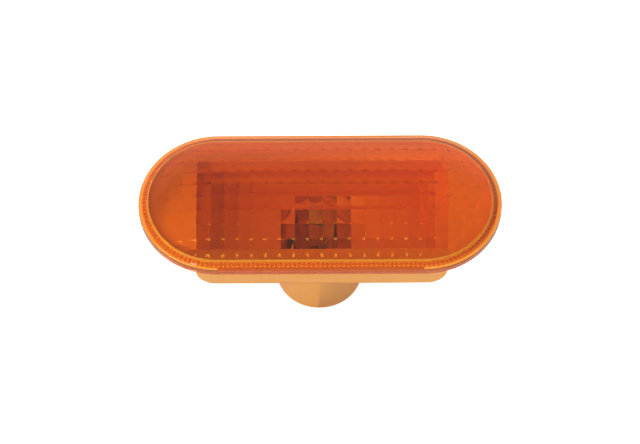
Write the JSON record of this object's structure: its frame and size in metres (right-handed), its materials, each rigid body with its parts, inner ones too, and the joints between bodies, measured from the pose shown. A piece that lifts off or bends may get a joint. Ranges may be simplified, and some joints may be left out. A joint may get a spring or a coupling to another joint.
{
  "type": "side repeater lamp",
  "caption": "Oval amber side repeater lamp with a pillow-optic lens, clip-in moulded housing, rear collar, bayonet bulb holder and wedge-base bulb.",
  "frame": {"origin": "centre of the plane where the rear of the lens rim seats on the panel", "axes": "+Z out of the lens, away from the panel; X along the lamp, with the spring tongue at +X and the fixed hook at -X; Y across it"},
  "size_m": [0.108, 0.0474, 0.0463],
  "materials": {
    "amber_lens": "clear amber acrylic, polished",
    "housing_plastic": "satin apricot moulding",
    "holder_plastic": "brown moulding, fine texture",
    "seal_rubber": "matte",
    "contact_brass": "bright strip",
    "bulb_glass": "clear",
    "lead_wire": "drawn wire",
    "filament_wire": "coiled tungsten"
  },
  "bodies": {
    "root": {"lens": "amber_lens", "housing": "housing_plastic", "bulb_holder": "holder_plastic", "holder_seal": "seal_rubber", "contact_left": "contact_brass", "contact_right": "contact_brass", "bulb_glass": "bulb_glass", "lead_wire_left": "lead_wire", "lead_wire_right": "lead_wire", "filament": "filament_wire"}
  },
  "joints": []
}
